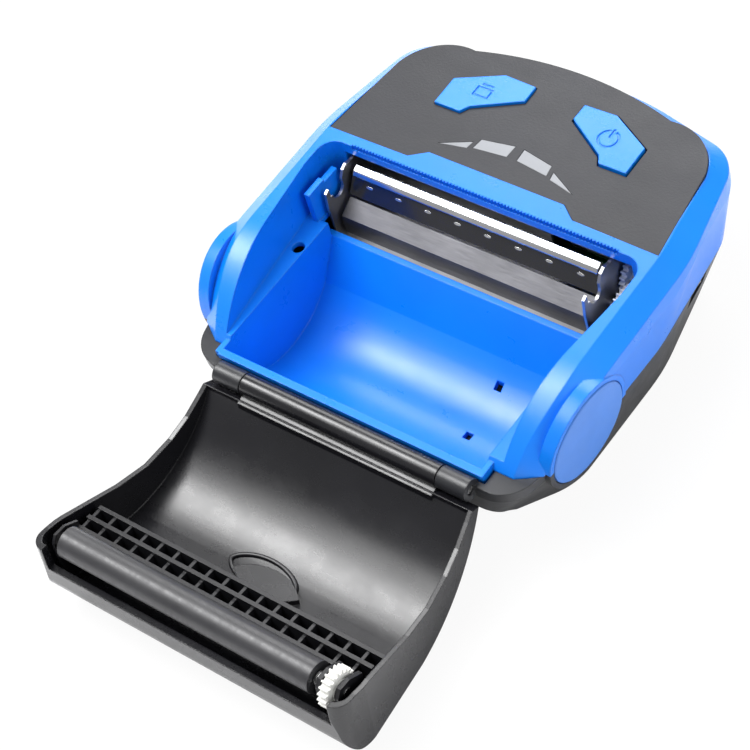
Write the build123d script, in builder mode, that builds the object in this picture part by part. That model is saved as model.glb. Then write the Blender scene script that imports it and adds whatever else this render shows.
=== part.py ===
from build123d import *
import math
import os

# Everything is drawn from the lid hinge pin (y = 0, z = 0) and set down on its feet at export

# Driving sizes, millimetres
CASE_HALF = 57.5            # half width of the case at its widest
CASE_FRONT = 1.0            # front edge of the lower half
CASE_REAR = 115.4           # rearmost point of the bowed rear edge
# Right-hand corners of the case outline with their rounding
PLAN = [
    (51.0, CASE_FRONT, 10.0),
    (CASE_HALF, 24.0, 60.0),
    (CASE_HALF, 74.0, 60.0),
    (50.5, 108.0, 13.0),
    (18.0, CASE_REAR, 80.0),
]
# The same corners at the parting line, where the sides and the rear have drawn in
PLAN_LOW = [
    (49.8, CASE_FRONT, 10.0),
    (54.6, 22.0, 60.0),
    (55.5, 60.0, 60.0),
    (50.8, 102.0, 14.0),
    (18.0, 110.5, 80.0),
]
# And at the floor
PLAN_FLOOR = [
    (35.0, 6.0, 6.0),
    (48.9, 26.0, 20.0),
    (49.2, 66.0, 60.0),
    (43.0, 96.0, 8.0),
    (15.0, 102.0, 80.0),
]
WIDEST_Z = 12.0             # height where the case has its full outline
CORNER_LEAST = 4.0
DECK_Y = 37.5               # where the deck starts behind the falling arms
DECK_Z = 17.3               # deck height there
DECK_TILT = 1.0             # degrees the deck rises to the rear
ARM_R = 35.0                # radius of the falling arms
PART_Z = 0.0                # parting line of the two halves in front of the round covers
PART_REAR = -3.4            # parting line behind them
STEP_Y = 27.0               # where the line steps, under the round covers
CASE_DEPTH = 24.4           # floor below the hinge pin
WALL = 2.2
DRAFT = 1.3                 # degrees the upper walls lean in
OVER_DECK = 26.0            # a height above everything in the case
SPAN = 70.0                 # a half width beyond everything in the case
FOOT = 0.8                  # feet stand this far below the case
ROOF = 3.4                  # deck thickness above the works
SHOULDER = (4.0, 5.5)       # bevel round the deck

# Paper chamber and lid opening
CH_X0 = -42.2
CH_X1 = 39.4
TROUGH_R = 25.0
TROUGH_Y = 26.0
TROUGH_Z = 4.4
CH_FRONT = 5.5
CH_REAR_TOP = (51.4, -1.9)
CH_REAR_LOW = (43.9, -13.2)
CH_WALL = 1.6
TROUGH_ROOM = 0.15          # clearance of the lower half round the trough
LEDGE_Z = 2.8
LEDGE_T = 1.6
OPEN_HALF0 = 42.6           # half width of the opening at the pin
OPEN_SLOPE = 0.122          # gain per millimetre rearward
OPEN_END = 56.0             # where the opening stops widening
TEAR_Y = 66.7
TEAR_HALF = 41.5
TOOTH = 1.0

# Hinge
PIN_R = 1.25
PIN_FIT = 0.06
KNUCKLE_R = 3.0
KNUCKLE_JOIN = 30.9
KNUCKLE_END = 39.8
KNUCKLE_GAP = 0.3
LID_OPEN = 173.0            # degrees the lid is swung open at rest

# Lid, drawn closed
LID_GAP = 0.45
LID_T = 2.2
RIM_T = 1.3
LID_END = 65.3

# Printing works, drawn where the closed lid meets them
PLATEN_Y = 58.6
PLATEN_Z = 8.6
PLATEN_R = 4.2
PLATEN_X0 = -42.0
PLATEN_X1 = 37.2
SHAFT_R = 1.5
BUSH_R = 2.0
HEAD_GAP = 0.35
HEAD_ANGLE = -35.0
FRAME_L = (-43.4, -42.6)
FRAME_R = (37.8, 38.6)
MODULE = 0.5
PLATEN_TEETH = 20
DRIVE_TEETH = 24
BIG_TEETH = 24
SMALL_TEETH = 14
MOTOR_TEETH = 12
MESH_GAP = 0.12
DRIVE_DIR = -60.0
REDUCE_DIR = 20.0
MOTOR_DIR = 0.0
GEAR_BORE_FIT = 0.05

# Buttons and panel
PANEL_T = 1.3
PANEL_LOW = 0.2             # panel top below the deck
BUTTON_GAP = 0.25
BUTTON_UP = 0.5
PLUNGER_R = 1.3

MIDDLE_Y = 24.308           # middle of the printer with its lid open
SET_DOWN = Pos(0, -MIDDLE_Y, CASE_DEPTH + FOOT)
SWING = Rot(LID_OPEN, 0, 0)
tilt = math.radians(DECK_TILT)
DECK = Plane(origin=(0, DECK_Y, DECK_Z), x_dir=(1, 0, 0), z_dir=(0, -math.sin(tilt), math.cos(tilt)))


def ship(part, name, swung=False):
    """Label a finished piece, swing it open if it rides on the lid, and write it out."""
    solid = SET_DOWN * (SWING * part if swung else part)
    solid.label = name
    export_step(solid, f"parts/{name}.step")


def slab(x0, x1, y0, y1, z0, z1, mode=Mode.ADD):
    """A box given by its limits."""
    with Locations(((x0 + x1) / 2, (y0 + y1) / 2, (z0 + z1) / 2)):
        Box(x1 - x0, y1 - y0, z1 - z0, mode=mode)


def rod(x0, x1, y, z, r, mode=Mode.ADD):
    """A cylinder lying along the width."""
    with Locations(Location(((x0 + x1) / 2, y, z), (0, 90, 0))):
        Cylinder(r, x1 - x0, mode=mode)


def post(x, y, z0, z1, r, mode=Mode.ADD):
    """An upright cylinder."""
    with Locations((x, y, (z0 + z1) / 2)):
        Cylinder(r, z1 - z0, mode=mode)


def side_prism(x0, x1, corners, mode=Mode.ADD):
    """A plate across the width from its side-view corners."""
    with BuildSketch(Plane.YZ.offset(x0)) as side:
        Polygon(*corners, align=None)
    extrude(side.sketch, amount=x1 - x0, mode=mode)


def drawn_in(corners, inset):
    """Corners of a convex outline with every side moved inwards."""
    moved = []
    count = len(corners)
    for i in range(count):
        p, q, r = (Vector(*corners[(i + k) % count]) for k in (-1, 0, 1))
        a = (q - p).normalized()
        b = (r - q).normalized()
        turn = (Vector(-a.Y, a.X) + Vector(-b.Y, b.X)).normalized()
        moved.append(q + turn * (inset / turn.dot(Vector(-a.Y, a.X))))
    return [(v.X, v.Y) for v in moved]


def between(low, high, share):
    """Outline part of the way from one to another."""
    return [tuple(a + share * (b - a) for a, b in zip(p, q)) for p, q in zip(low, high)]


def case_plan(inset=0.0, plan=PLAN):
    """Outline of the case seen from above."""
    right = [(x, y) for x, y, _ in plan]
    left = [(-x, y) for x, y, _ in reversed(plan)]
    radii = [r for _, _, r in plan] + [r for _, _, r in reversed(plan)]
    corners = drawn_in(right + left, inset)
    Polygon(*corners, align=None)
    for (x, y), r in zip(corners, radii):
        fillet(vertices().sort_by_distance((x, y))[0], max(r - inset, CORNER_LEAST))


def arm_y(z, drop=0.0):
    """Front limit of the arms at a height."""
    return DECK_Y - math.sqrt((ARM_R - drop) ** 2 - (z + ARM_R - DECK_Z) ** 2)


def side_profile(drop=0.0):
    """Side view of the upper half, lowered for the inner faces."""
    rise = math.tan(tilt)
    top = DECK_Z - drop
    rear = CASE_REAR + 1.0
    low = PART_Z
    with BuildLine() as rim:
        ThreePointArc((arm_y(low, drop), low), (arm_y(9.0, drop), 9.0), (DECK_Y, top))
        Line((DECK_Y, top), (rear, top + rise * (rear - DECK_Y)))
        Line((rear, top + rise * (rear - DECK_Y)), (rear, PART_REAR))
        Polyline((rear, PART_REAR), (STEP_Y, PART_REAR), (STEP_Y, low), (arm_y(low, drop), low))
    make_face(rim.edges())


def opening_half(y):
    """Half width of the lid opening."""
    return OPEN_HALF0 + OPEN_SLOPE * y


def opening_plan(gap=0.0, end=TEAR_Y, corner=5.0, front=-6.0):
    """Plan of the lid opening, drawn in by the gap on both sides for the lid itself."""
    wide = opening_half(OPEN_END) - gap
    with BuildLine() as rim:
        Polyline(
            (opening_half(front) - gap, front),
            (wide, OPEN_END),
            (wide, end),
            (-wide, end),
            (-wide, OPEN_END),
            (-opening_half(front) + gap, front),
            close=True,
        )
    make_face(rim.edges())
    if corner:
        fillet([v for v in vertices() if v.Y > end - 1.0], corner)


def gear_outline(teeth, phase, bore):
    """Flat gear with straight-flanked teeth, the first tooth at the phase angle."""
    pitch_r = MODULE * teeth / 2
    root = pitch_r - 1.2 * MODULE
    tip = pitch_r + 0.85 * MODULE
    step = 360.0 / teeth
    pts = []
    for i in range(teeth):
        middle = phase + i * step
        for part, r in ((-0.30, root), (-0.11, tip), (0.11, tip), (0.30, root)):
            a = math.radians(middle + part * step)
            pts.append((r * math.cos(a), r * math.sin(a)))
    Polygon(*pts, align=None)
    if bore:
        Circle(bore, mode=Mode.SUBTRACT)


def gear_at(x0, x1, y, z, teeth, phase, bore=0.0):
    """Gear lying along the width."""
    with BuildSketch(Plane(origin=(x0, y, z), x_dir=(0, 1, 0), z_dir=(1, 0, 0))) as wheel:
        gear_outline(teeth, phase, bore)
    extrude(wheel.sketch, amount=x1 - x0)


os.makedirs("parts", exist_ok=True)

# Gear centres and matching phases
def reach(teeth_a, teeth_b):
    return MODULE * (teeth_a + teeth_b) / 2 + MESH_GAP


def step_to(y, z, distance, direction):
    a = math.radians(direction)
    return y + distance * math.cos(a), z + distance * math.sin(a)


drive_y, drive_z = step_to(PLATEN_Y, PLATEN_Z, reach(PLATEN_TEETH, DRIVE_TEETH), DRIVE_DIR)
reduce_y, reduce_z = step_to(drive_y, drive_z, reach(DRIVE_TEETH, SMALL_TEETH), REDUCE_DIR)
motor_y, motor_z = step_to(reduce_y, reduce_z, reach(BIG_TEETH, MOTOR_TEETH), MOTOR_DIR)
platen_phase = DRIVE_DIR
drive_phase = DRIVE_DIR + 180.0 + 180.0 / DRIVE_TEETH
turns = (REDUCE_DIR - drive_phase) * DRIVE_TEETH / 360.0
small_phase = REDUCE_DIR + 180.0 + (turns + 0.5) * 360.0 / SMALL_TEETH
big_phase = MOTOR_DIR
motor_phase = MOTOR_DIR + 180.0 + 180.0 / MOTOR_TEETH


# Screws, feet and fits
SCREW_SPOTS = [(-46.3, 47.0), (46.3, 47.0), (-38.6, 93.0), (38.6, 93.0)]
SCREW_R = 0.9
SCREW_HEAD_R = 1.8
BOSS_R = 2.2
SPLIT = -2.7                # where upper and lower screw posts meet
FLOOR = -CASE_DEPTH
FLOOR_IN = FLOOR + 2.0
FEET = [(-36.0, 24.0), (36.0, 24.0), (-41.5, 80.0), (41.5, 80.0)]
FOOT_R = 4.0
FOOT_SINK = 0.6
BAY = (-44.6, 45.0, CH_REAR_TOP[0], TEAR_Y + 2.4)
LEDGE_WALL = 1.8
LEDGE_HOLE_R = 1.8
LIP_FRONT = 3.4
LIP_Z = 1.8

# Panel drawing, in plan
PANEL_SIDE = [(51.1, 70.0), (47.9, 96.5)]
PANEL_CORNER = ((47.9, 96.5), (44.4, 103.6), (30.6, 108.8))
PANEL_NOTCH = [(25.7, 70.4), (21.1, 73.8)]
PANEL_REAR_Y = 113.2
BUTTON = [(29.8, 97.7), (17.4, 104.2), (7.7, 103.9), (7.6, 98.6), (20.2, 91.1), (21.7, 88.6), (29.8, 88.6)]
WINDOW_OUTER = [(12.6, 81.6), (20.6, 77.6), (13.0, 79.2)]
WINDOW_INNER = [(1.4, 84.9), (10.9, 83.2), (11.4, 79.9), (1.6, 81.0)]
SWITCH_AT = (18.6, 96.6)
# Round side covers: face centre, how the face leans, size and fit
CAP_AT = (55.6, 27.6, -0.6)
CAP_TILT = 8.0
CAP_YAW = 2.5
CAP_R = 13.9
CAP_T = 1.6
CAP_FIT = 0.25
CAP_RIM = 1.7               # width of the land round the cover
CAP_PROUD = 0.3
SENSOR_X = 17.8
SENSOR_Y = (23.4, 38.4)

# Battery and boards
BATTERY = (-32.0, 32.0, 58.5, 92.5, FLOOR_IN + 0.3, -12.4)
DOOR = (-34.0, 34.0, 56.5, 94.5)
DOOR_T = 1.4
BOARD_Z = (-10.6, -9.0)
PORT = (76.8, 86.2, -10.3, -4.3)
PORT_X = 46.0
USB = (43.6, 50.4, 77.8, 85.2, -5.6)
SUB_Z = (10.4, 11.6)


def deck_plane(depth):
    """The tilted deck plane, lowered by a depth."""
    return DECK.offset(-depth)


def on_deck(points, sign=1.0):
    """Plan points moved to the deck plane's own axes, mirrored for the left side."""
    return [(sign * x, y - DECK_Y) for x, y in points]


def panel_plan(gap=0.0):
    """Panel outline on the deck plane."""
    with BuildLine() as rim:
        for sign in (1.0, -1.0):
            side = on_deck(PANEL_SIDE, sign)
            corner = on_deck(PANEL_CORNER, sign)
            notch = on_deck(PANEL_NOTCH, sign)
            Polyline(side[1], side[0], notch[0], notch[1])
            ThreePointArc(*corner)
        Line(on_deck(PANEL_NOTCH)[1], on_deck(PANEL_NOTCH, -1.0)[1])
        ThreePointArc(
            on_deck(PANEL_CORNER)[2], (0.0, PANEL_REAR_Y - DECK_Y), on_deck(PANEL_CORNER, -1.0)[2]
        )
    make_face(rim.edges())
    if gap:
        offset(amount=gap, kind=Kind.INTERSECTION)


def button_plan(sign, grow=0.0):
    """One seven-sided button on the deck plane."""
    Polygon(*on_deck(BUTTON, sign), align=None)
    if grow:
        offset(amount=grow, kind=Kind.INTERSECTION)


def window_plan(grow=0.0):
    """The four lamp windows on the deck plane."""
    for sign in (1.0, -1.0):
        for window in (WINDOW_OUTER, WINDOW_INNER):
            with BuildSketch(mode=Mode.PRIVATE) as pane:
                Polygon(*on_deck(window, sign), align=None)
                if grow:
                    offset(amount=grow, kind=Kind.INTERSECTION)
            add(pane.sketch)


def trough_outer():
    """Side view of the paper trough with its wall."""
    out = TROUGH_R + CH_WALL
    front_y = CH_FRONT - CH_WALL
    front = (front_y, TROUGH_Z - math.sqrt(out**2 - (TROUGH_Y - front_y) ** 2))
    rear_low = (45.25, TROUGH_Z - math.sqrt(out**2 - (45.25 - TROUGH_Y) ** 2))
    rear_top = (CH_REAR_TOP[0] + CH_WALL, CH_REAR_TOP[1] - 0.4)
    with BuildLine() as rim:
        Line((front[0], LIP_Z), front)
        ThreePointArc(front, (TROUGH_Y, TROUGH_Z - out), rear_low)
        Polyline(rear_low, rear_top, (rear_top[0], LIP_Z), (front[0], LIP_Z))
    make_face(rim.edges())


def trough_inner():
    """Side view of the space the roll lies in, open to the top."""
    front = (CH_FRONT, TROUGH_Z - math.sqrt(TROUGH_R**2 - (TROUGH_Y - CH_FRONT) ** 2))
    rear_low = (CH_REAR_LOW[0], TROUGH_Z - math.sqrt(TROUGH_R**2 - (CH_REAR_LOW[0] - TROUGH_Y) ** 2))
    with BuildLine() as rim:
        Line((front[0], 30.0), front)
        ThreePointArc(front, (TROUGH_Y, TROUGH_Z - TROUGH_R), rear_low)
        Polyline(rear_low, CH_REAR_TOP, (CH_REAR_TOP[0], 30.0), (front[0], 30.0))
    make_face(rim.edges())


def leaning(inset):
    """Sides and rear that draw in from the shoulder down to the parting line."""
    front_out = 1.5
    with BuildPart() as form:
        ends = []
        for z in (PART_REAR - 1.0, 2.0 * WIDEST_Z):
            share = (z - PART_REAR) / (WIDEST_Z - PART_REAR)
            with BuildSketch(Plane.XY.offset(z)) as end:
                plan = between(PLAN_LOW, PLAN, share)
                plan[0] = (plan[0][0] + 1.0, plan[0][1] - front_out, plan[0][2])
                case_plan(inset, plan)
            ends.append(end.sketch)
        loft(sections=ends, ruled=True)
    return form.part


LEAN_OUT = leaning(0.0)
LEAN_IN = leaning(WALL)


def cap_plane(sign):
    """Outer face of a round side cover."""
    t, w = math.radians(CAP_TILT), math.radians(CAP_YAW)
    face = (sign * math.cos(t) * math.cos(w), -math.cos(t) * math.sin(w), -math.sin(t))
    return Plane(origin=(sign * CAP_AT[0], CAP_AT[1], CAP_AT[2]), x_dir=(0, 1, 0), z_dir=face)


def disc(sign, r, top, depth, mode=Mode.ADD):
    """A round slice parallel to a side cover, from a level of its face inwards."""
    with BuildSketch(cap_plane(sign).offset(top)) as ring:
        Circle(r)
    extrude(ring.sketch, amount=-depth, mode=mode)


# Upper case
with BuildPart() as outer_form:
    with BuildSketch(Plane.XY.offset(PART_REAR)):
        case_plan()
    extrude(amount=OVER_DECK - PART_REAR, taper=DRAFT)
    with BuildSketch(Plane.YZ.offset(-SPAN)):
        side_profile()
    extrude(amount=2 * SPAN, mode=Mode.INTERSECT)
    top_rim = [e for e in outer_form.edges() if e.center().Z > 1.0 and e.geom_type != GeomType.LINE]
    chamfer(top_rim, length=SHOULDER[0], length2=SHOULDER[1])
    add(LEAN_OUT, mode=Mode.INTERSECT)

with BuildPart() as hollow:
    with BuildSketch(Plane.XY.offset(PART_REAR - 1.0)):
        case_plan(WALL)
    extrude(amount=OVER_DECK - PART_REAR, taper=DRAFT)
    with BuildSketch(Plane.YZ.offset(-SPAN)):
        side_profile(ROOF)
    extrude(amount=2 * SPAN, mode=Mode.INTERSECT)
    add(LEAN_IN, mode=Mode.INTERSECT)

# Round lands on both sides that carry the side covers
with BuildPart() as lands:
    for sign in (-1.0, 1.0):
        disc(sign, CAP_R + CAP_RIM, -CAP_PROUD, 3.6)

# What belongs to the upper half at the step of the parting line
with BuildPart() as above:
    slab(-SPAN, SPAN, -SPAN, STEP_Y, PART_Z, SPAN)
    slab(-SPAN, SPAN, STEP_Y, 2 * SPAN, PART_REAR, SPAN)
LANDS_HIGH = lands.part & above.part
LANDS_LOW = lands.part - above.part

with BuildPart() as opening_walls:
    with BuildSketch(Plane.XY.offset(LEDGE_Z - LEDGE_T)):
        opening_plan(-LEDGE_WALL, TEAR_Y + LEDGE_WALL, 5.0 + LEDGE_WALL)
    extrude(amount=24.0)
    add(outer_form.part, mode=Mode.INTERSECT)

with BuildPart() as upper_case:
    add(outer_form.part)
    add(hollow.part, mode=Mode.SUBTRACT)
    add(opening_walls.part)
    add(LANDS_HIGH)
    with BuildSketch(Plane.YZ.offset(CH_X0 - CH_WALL)):
        trough_outer()
    extrude(amount=CH_X1 - CH_X0 + 2 * CH_WALL)
    # Screw posts under the ledge and the deck
    for x, y in SCREW_SPOTS:
        post(x, y, SPLIT, LEDGE_Z - 1.0 if y < 60.0 else DECK_Z - 2.0, BOSS_R)
    # Lid opening, roll space and works bay
    with BuildSketch(Plane.XY.offset(LEDGE_Z)):
        opening_plan()
    extrude(amount=30.0, mode=Mode.SUBTRACT)
    with BuildSketch(Plane.YZ.offset(CH_X0)):
        trough_inner()
    extrude(amount=CH_X1 - CH_X0, mode=Mode.SUBTRACT)
    slab(BAY[0], BAY[1], BAY[2], BAY[3], CH_REAR_TOP[1], DECK_Z - ROOF + 0.3, mode=Mode.SUBTRACT)
    # Front lip over the hinge
    slab(CH_X0 - 0.4, CH_X1 + CH_WALL, LIP_FRONT, CH_FRONT, PART_Z + 0.1, LIP_Z)
    # Stepped block beside the printing works
    slab(-46.7, -44.9, 50.5, 62.5, LEDGE_Z - 0.5, 12.0)
    slab(-46.7, -44.9, 50.5, 57.0, LEDGE_Z - 0.5, 13.0)
    # Hole in the left ledge
    post(-44.4, 41.0, LEDGE_Z - 3.0, LEDGE_Z + 1.0, LEDGE_HOLE_R, mode=Mode.SUBTRACT)
    # Tear teeth along the front of the deck
    with BuildSketch(deck_plane(0.0)) as teeth:
        count = int(2 * TEAR_HALF / TOOTH)
        zigzag = [(-TEAR_HALF, TEAR_Y - DECK_Y - 1.0)]
        for i in range(count):
            x = -TEAR_HALF + i * TOOTH
            zigzag.append((x, TEAR_Y - DECK_Y + 0.75))
            zigzag.append((x + TOOTH / 2, TEAR_Y - DECK_Y + 0.05))
        zigzag.append((TEAR_HALF, TEAR_Y - DECK_Y + 0.75))
        zigzag.append((TEAR_HALF, TEAR_Y - DECK_Y - 1.0))
        Polygon(*zigzag, align=None)
    extrude(amount=-1.4, mode=Mode.SUBTRACT)
    # Panel pocket, button wells and lamp slot
    with BuildSketch(deck_plane(PANEL_T + PANEL_LOW)):
        panel_plan(0.12)
    extrude(amount=4.0, mode=Mode.SUBTRACT)
    with BuildSketch(deck_plane(ROOF + 1.0)):
        button_plan(1.0, BUTTON_GAP + 0.1)
        button_plan(-1.0, BUTTON_GAP + 0.1)
    extrude(amount=4.0, mode=Mode.SUBTRACT)
    slab(-21.6, 21.6, 76.6, 86.4, DECK_Z - ROOF - 0.2, DECK_Z, mode=Mode.SUBTRACT)
    # Screw pilots
    for x, y in SCREW_SPOTS:
        post(x, y, SPLIT - 1.0, LEDGE_Z - 2.4 if y < 60.0 else 6.0, SCREW_R - 0.02, mode=Mode.SUBTRACT)
    for sign in (-1.0, 1.0):
        disc(sign, CAP_R + CAP_FIT, 3.0, 3.0 + CAP_T, mode=Mode.SUBTRACT)
    # Paper sensor windows
    for y in SENSOR_Y:
        slab(SENSOR_X - 1.1, SENSOR_X + 1.1, y - 1.1, y + 1.1, -26.0, -8.0, mode=Mode.SUBTRACT)
ship(upper_case.part, "upper_case")


# Lower case
def hull(inset, floor, wall_front):
    """Tray that draws in from the parting line to the floor."""
    share = (PART_REAR - floor) / (PART_REAR - FLOOR)
    at_pin = (PART_Z - PART_REAR) / (WIDEST_Z - PART_REAR)
    outlines = [
        (PART_Z, between(PLAN_LOW, PLAN, at_pin)),
        (PART_REAR, PLAN_LOW),
        (floor, between(PLAN_LOW, PLAN_FLOOR, share)),
    ]
    with BuildPart() as tray:
        ends = []
        for z, plan in outlines:
            with BuildSketch(Plane.XY.offset(z)) as end:
                case_plan(inset, plan)
            ends.append(end.sketch)
        loft(sections=ends, ruled=True)
        low = wall_front
        side_prism(
            -SPAN, SPAN, [(-9.0, low), (1.0 + inset, low), (12.5 + inset, FLOOR), (12.5 + inset, -40.0), (-9.0, -40.0)],
            mode=Mode.SUBTRACT,
        )
    return tray.part


with BuildPart() as lower_case:
    add(hull(0.0, FLOOR, -10.5))
    add(hull(WALL - 0.2, FLOOR_IN, -9.9), mode=Mode.SUBTRACT)
    add(LANDS_LOW)
    add(above.part, mode=Mode.SUBTRACT)
    for sign in (-1.0, 1.0):
        disc(sign, CAP_R + CAP_FIT, 3.0, 3.0 + CAP_T, mode=Mode.SUBTRACT)
    # Closed corners in front of the arms
    with BuildSketch(Plane.XY) as corner_caps:
        case_plan(0.5, PLAN_LOW)
        with Locations((0.0, 54.5)):
            Rectangle(83.4, 130.0, mode=Mode.SUBTRACT)
        with Locations((0.0, 70.0)):
            Rectangle(140.0, 122.0, mode=Mode.SUBTRACT)
    extrude(amount=-2.2)
    # Room for the paper trough of the upper half
    with BuildSketch(Plane.YZ.offset(CH_X0 - CH_WALL - TROUGH_ROOM)) as trough_room:
        trough_outer()
        offset(amount=TROUGH_ROOM)
    room_long = CH_X1 - CH_X0 + 2 * (CH_WALL + TROUGH_ROOM)
    extrude(trough_room.sketch, amount=room_long, mode=Mode.SUBTRACT)
    # Hinge knuckles at both ends, and the gap for the lid's own knuckle
    rod(-KNUCKLE_JOIN, KNUCKLE_JOIN, 0.0, 0.0, KNUCKLE_R + 0.35, mode=Mode.SUBTRACT)
    for sign in (-1.0, 1.0):
        a, b = sorted((sign * (KNUCKLE_JOIN + KNUCKLE_GAP / 2), sign * KNUCKLE_END))
        rod(a, b, 0.0, 0.0, KNUCKLE_R)
        slab(a, b, 0.0, 2.9, -KNUCKLE_R, -0.02)
    rod(-60.0, 60.0, 0.0, 0.0, PIN_R + PIN_FIT, mode=Mode.SUBTRACT)
    # Screw posts with sunk heads
    for x, y in SCREW_SPOTS:
        post(x, y, FLOOR + 0.5, SPLIT - 0.05, BOSS_R)
    for x, y in SCREW_SPOTS:
        post(x, y, FLOOR - 1.0, SPLIT + 1.0, SCREW_R + 0.15, mode=Mode.SUBTRACT)
        post(x, y, FLOOR - 1.0, FLOOR + 6.0, SCREW_HEAD_R + 0.1, mode=Mode.SUBTRACT)
    # Battery door opening with its step
    slab(DOOR[0] + 2.0, DOOR[1] - 2.0, DOOR[2] + 1.5, DOOR[3] - 1.5, FLOOR - 1.0, FLOOR_IN + 0.1, mode=Mode.SUBTRACT)
    slab(DOOR[0], DOOR[1], DOOR[2], DOOR[3], FLOOR - 1.0, FLOOR + DOOR_T + 0.02, mode=Mode.SUBTRACT)
    # Foot pockets
    for x, y in FEET:
        post(x, y, FLOOR - 1.0, FLOOR + FOOT_SINK, FOOT_R + 0.1, mode=Mode.SUBTRACT)
    # Port in the right wall
    slab(PORT_X, CASE_HALF + 5.0, PORT[0], PORT[1], PORT[2], PORT[3], mode=Mode.SUBTRACT)
ship(lower_case.part, "lower_case")

# Panel, buttons and lamp windows
with BuildPart() as top_panel:
    with BuildSketch(deck_plane(PANEL_LOW + PANEL_T)):
        panel_plan()
    extrude(amount=PANEL_T)
    with BuildSketch(deck_plane(PANEL_LOW + PANEL_T + 1.0)):
        button_plan(1.0, BUTTON_GAP)
        button_plan(-1.0, BUTTON_GAP)
        window_plan(0.08)
    extrude(amount=4.0, mode=Mode.SUBTRACT)
ship(top_panel.part, "top_panel")

with BuildPart() as led_windows:
    with BuildSketch(deck_plane(ROOF - 0.4)):
        with Locations((0.0, 81.4 - DECK_Y)):
            RectangleRounded(42.6, 9.0, 1.0)
    extrude(amount=ROOF - 0.4 - PANEL_LOW - PANEL_T)
    with BuildSketch(deck_plane(ROOF - 0.6)):
        window_plan()
    extrude(amount=ROOF - 0.6 - PANEL_LOW - 0.05)
ship(led_windows.part, "led_windows")

FLANGE = 0.7
CAP_LOW = ROOF + 0.35       # underside of the cap, where its flange starts


def button(sign, name):
    """Button cap with its retaining flange, stem and shallow sign."""
    with BuildPart() as cap:
        with BuildSketch(deck_plane(CAP_LOW)):
            button_plan(sign)
        extrude(amount=CAP_LOW + BUTTON_UP)
        with BuildSketch(deck_plane(CAP_LOW + FLANGE)):
            button_plan(sign, 0.9)
        extrude(amount=FLANGE)
        with BuildSketch(deck_plane(BUTTON_UP * -1.0 + 0.25)):
            centre = (sign * (SWITCH_AT[0] + 1.0), SWITCH_AT[1] - DECK_Y)
            if sign > 0:
                with Locations(centre):
                    Circle(3.0)
                    Circle(2.4, mode=Mode.SUBTRACT)
                with Locations((centre[0], centre[1] + 2.8)):
                    Rectangle(1.8, 1.4, mode=Mode.SUBTRACT)
                with Locations((centre[0], centre[1] + 1.9)):
                    Rectangle(0.6, 3.0)
            else:
                with Locations(centre):
                    Rectangle(5.0, 3.4)
                    Rectangle(3.9, 2.3, mode=Mode.SUBTRACT)
                with Locations((centre[0], centre[1] + 2.6)):
                    Rectangle(3.4, 0.6)
        extrude(amount=1.0, mode=Mode.SUBTRACT)
    ship(cap.part, name)


button(-1.0, "feed_button")
button(1.0, "power_button")

# Switch board under the buttons, its switches and their plungers
with BuildPart() as switch_board:
    slab(-33.0, 33.0, 74.0, 105.0, SUB_Z[0], SUB_Z[1])
ship(switch_board.part, "switch_board")

for sign, name in ((-1.0, "feed"), (1.0, "power")):
    x = sign * SWITCH_AT[0]
    y = SWITCH_AT[1]
    top = DECK_Z + math.tan(tilt) * (y - DECK_Y) - CAP_LOW - FLANGE
    with BuildPart() as housing:
        slab(x - 3.0, x + 3.0, y - 3.0, y + 3.0, SUB_Z[1], SUB_Z[1] + 1.3)
        post(x, y, SUB_Z[1] + 0.2, SUB_Z[1] + 2.0, PLUNGER_R + 0.35, mode=Mode.SUBTRACT)
    ship(housing.part, f"{name}_switch")
    with BuildPart() as plunger:
        post(x, y, SUB_Z[1] + 1.0, top + 0.05, PLUNGER_R)
        with BuildSketch(deck_plane(CAP_LOW + FLANGE)):
            with Locations((0.0, y - DECK_Y)):
                Rectangle(80.0, 20.0)
        extrude(amount=3.0, mode=Mode.SUBTRACT)
    ship(plunger.part, f"{name}_plunger")

# Round covers on both sides
for sign, name in ((-1.0, "left_side_cap"), (1.0, "right_side_cap")):
    with BuildPart() as side_cap:
        disc(sign, CAP_R, 0.0, CAP_T)
        outer_edge = side_cap.edges().filter_by(GeomType.CIRCLE).sort_by(Axis.X)[-1 if sign > 0 else 0]
        chamfer(outer_edge, length=0.3)
    ship(side_cap.part, name)

# Hinge pin
with BuildPart() as hinge_pin:
    rod(-KNUCKLE_END + 0.4, KNUCKLE_END - 0.4, 0.0, 0.0, PIN_R)
ship(hinge_pin.part, "hinge_pin")

# Feet, screws, battery
with BuildPart() as rubber_feet:
    for x, y in FEET:
        post(x, y, FLOOR - FOOT, FLOOR + FOOT_SINK, FOOT_R)
ship(rubber_feet.part, "rubber_feet")

with BuildPart() as case_screws:
    for x, y in SCREW_SPOTS:
        post(x, y, FLOOR + 4.4, FLOOR + 6.0, SCREW_HEAD_R)
        post(x, y, FLOOR + 6.0, SPLIT + 3.0, SCREW_R - 0.04)
ship(case_screws.part, "case_screws")

with BuildPart() as battery_door:
    slab(DOOR[0] + 0.15, DOOR[1] - 0.15, DOOR[2] + 0.15, DOOR[3] - 0.15, FLOOR, FLOOR + DOOR_T)
    slab(DOOR[0] + 2.3, DOOR[1] - 2.3, DOOR[2] + 1.8, DOOR[3] - 1.8, FLOOR + DOOR_T, FLOOR_IN)
    for k in range(4):
        slab(-8.0, 8.0, DOOR[2] + 4.0 + 2.0 * k, DOOR[2] + 4.9 + 2.0 * k, FLOOR - 0.5, FLOOR + 0.4, mode=Mode.SUBTRACT)
ship(battery_door.part, "battery_door")

with BuildPart() as battery_pack:
    slab(*BATTERY)
    uprights = battery_pack.edges().filter_by(Axis.Z)
    fillet(uprights, 2.0)
ship(battery_pack.part, "battery_pack")

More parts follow.
